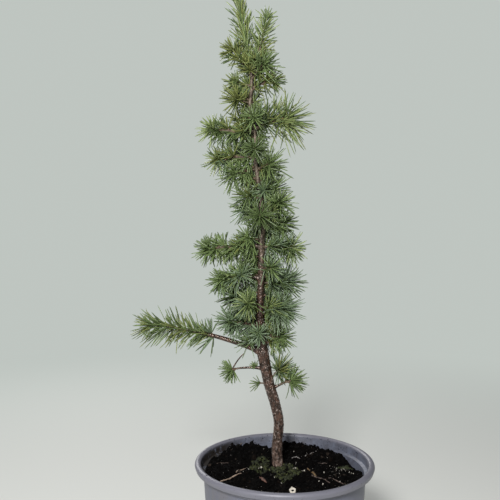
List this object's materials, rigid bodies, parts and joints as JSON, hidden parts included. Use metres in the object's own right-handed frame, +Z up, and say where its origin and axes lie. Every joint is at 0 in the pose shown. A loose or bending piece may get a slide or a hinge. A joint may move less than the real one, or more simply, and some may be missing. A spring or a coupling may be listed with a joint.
{
  "type": "potted atlas cedar sapling",
  "caption": "Young atlas cedar with a crooked slender trunk, short shoots that carry tufts of needles and a long low bough, in a round plastic pot filled with soil.",
  "frame": {"origin": "centre of the pot's flat underside, which stands on the ground", "axes": "+Z up along the tree; +Y away from the viewer of the picture; +X to the viewer's right, so the long low bough points to -X"},
  "size_m": [0.2443, 0.178, 0.5929],
  "materials": {
    "pot": "satin",
    "soil": "matte",
    "trunk": "matte",
    "boughs": "matte",
    "needles": "satin"
  },
  "bodies": {
    "root": {"back_10_needles": "needles", "back_1_needles": "needles", "back_2_needles": "needles", "back_3_needles": "needles", "back_4_needles": "needles", "back_5_needles": "needles", "back_6_needles": "needles", "back_7_needles": "needles", "back_8_needles": "needles", "back_9_needles": "needles", "front_1_needles": "needles", "front_2_needles": "needles", "front_3_needles": "needles", "front_4_needles": "needles", "front_5_needles": "needles", "front_6_needles": "needles", "leader_needles": "needles", "left_10_needles": "needles", "left_11_needles": "needles", "left_12_needles": "needles", "left_1_needles": "needles", "left_2_needles": "needles", "left_3_needles": "needles", "left_4_bough": "boughs", "left_4_needles": "needles", "left_5_bough": "boughs", "left_5_near_needles": "needles", "left_5_needles": "needles", "left_6_needles": "needles", "left_7_needles": "needles", "left_8_low_needles": "needles", "left_8_needles": "needles", "left_9_bough": "boughs", "left_9_near_needles": "needles", "left_9_needles": "needles", "long_left_bough": "boughs", "long_left_needles": "needles", "low_left_bough": "boughs", "low_left_bud_needles": "needles", "low_left_needles": "needles", "low_right_bough": "boughs", "low_right_needles": "needles", "low_right_up_needles": "needles", "pot": "pot", "right_10_needles": "needles", "right_11_needles": "needles", "right_1_needles": "needles", "right_2_needles": "needles", "right_3_needles": "needles", "right_4_needles": "needles", "right_5_needles": "needles", "right_6_needles": "needles", "right_7_needles": "needles", "right_8_needles": "needles", "right_9_bough": "boughs", "right_9_needles": "needles", "second_leader_bough": "boughs", "second_leader_needles": "needles", "soil": "soil", "trunk": "trunk"}
  },
  "joints": []
}
